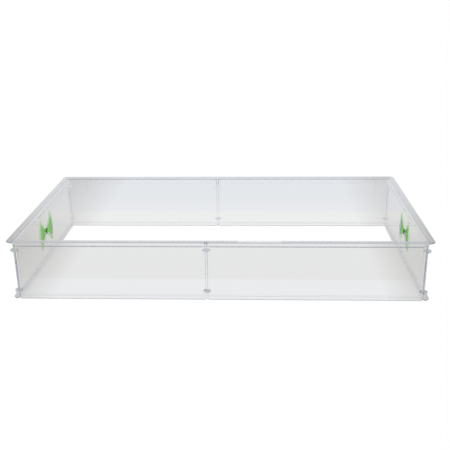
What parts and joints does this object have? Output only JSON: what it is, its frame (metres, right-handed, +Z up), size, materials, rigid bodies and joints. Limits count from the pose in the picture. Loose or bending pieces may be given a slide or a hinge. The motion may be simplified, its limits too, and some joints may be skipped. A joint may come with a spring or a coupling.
{
  "type": "cold frame",
  "caption": "Open rectangular cold frame tier of clear moulded wall panels pinned together by lift-out rods, with a round butterfly vent in each end wall.",
  "frame": {"origin": "centre of the tier on the ground plane", "axes": "+X along the length to the right, +Y to the rear, +Z up"},
  "size_m": [1.1, 0.6, 0.168],
  "materials": {
    "clear_panel": "injection-moulded clear plastic, polished",
    "clear_rod": "extruded clear plastic rod",
    "green_vane": "moulded translucent green plastic",
    "green_stud": "moulded bright green plastic",
    "spring_steel": "browned spring steel"
  },
  "bodies": {
    "frame": {"front_left_panel": "clear_panel", "front_right_panel": "clear_panel", "rear_left_panel": "clear_panel", "rear_right_panel": "clear_panel", "left_end_panel": "clear_panel", "right_end_panel": "clear_panel"},
    "front_left_rod": {"front_left_rod": "clear_rod"},
    "front_middle_rod": {"front_middle_rod": "clear_rod"},
    "front_right_rod": {"front_right_rod": "clear_rod"},
    "rear_left_rod": {"rear_left_rod": "clear_rod"},
    "rear_middle_rod": {"rear_middle_rod": "clear_rod"},
    "rear_right_rod": {"rear_right_rod": "clear_rod"},
    "left_vent": {"left_vent_vane": "green_vane", "left_vent_stud": "green_stud", "left_vent_washer": "spring_steel"},
    "right_vent": {"right_vent_vane": "green_vane", "right_vent_stud": "green_stud", "right_vent_washer": "spring_steel"}
  },
  "joints": [
    {"name": "front_left_rod_pull", "type": "slide", "parent": "frame", "child": "front_left_rod", "axis": [0, 0, 1], "range_m": [0, 0.17]},
    {"name": "front_middle_rod_pull", "type": "slide", "parent": "frame", "child": "front_middle_rod", "axis": [0, 0, 1], "range_m": [0, 0.17]},
    {"name": "front_right_rod_pull", "type": "slide", "parent": "frame", "child": "front_right_rod", "axis": [0, 0, 1], "range_m": [0, 0.17]},
    {"name": "rear_left_rod_pull", "type": "slide", "parent": "frame", "child": "rear_left_rod", "axis": [0, 0, 1], "range_m": [0, 0.17]},
    {"name": "rear_middle_rod_pull", "type": "slide", "parent": "frame", "child": "rear_middle_rod", "axis": [0, 0, 1], "range_m": [0, 0.17]},
    {"name": "rear_right_rod_pull", "type": "slide", "parent": "frame", "child": "rear_right_rod", "axis": [0, 0, 1], "range_m": [0, 0.17]},
    {"name": "left_vent_turn", "type": "hinge", "parent": "frame", "child": "left_vent", "pos_m": [-0.536, 0, 0.0866], "axis": [-1, 0, 0], "range_deg": [0, 90]},
    {"name": "right_vent_turn", "type": "hinge", "parent": "frame", "child": "right_vent", "pos_m": [0.536, 0, 0.0866], "axis": [1, 0, 0], "range_deg": [0, 90]}
  ]
}
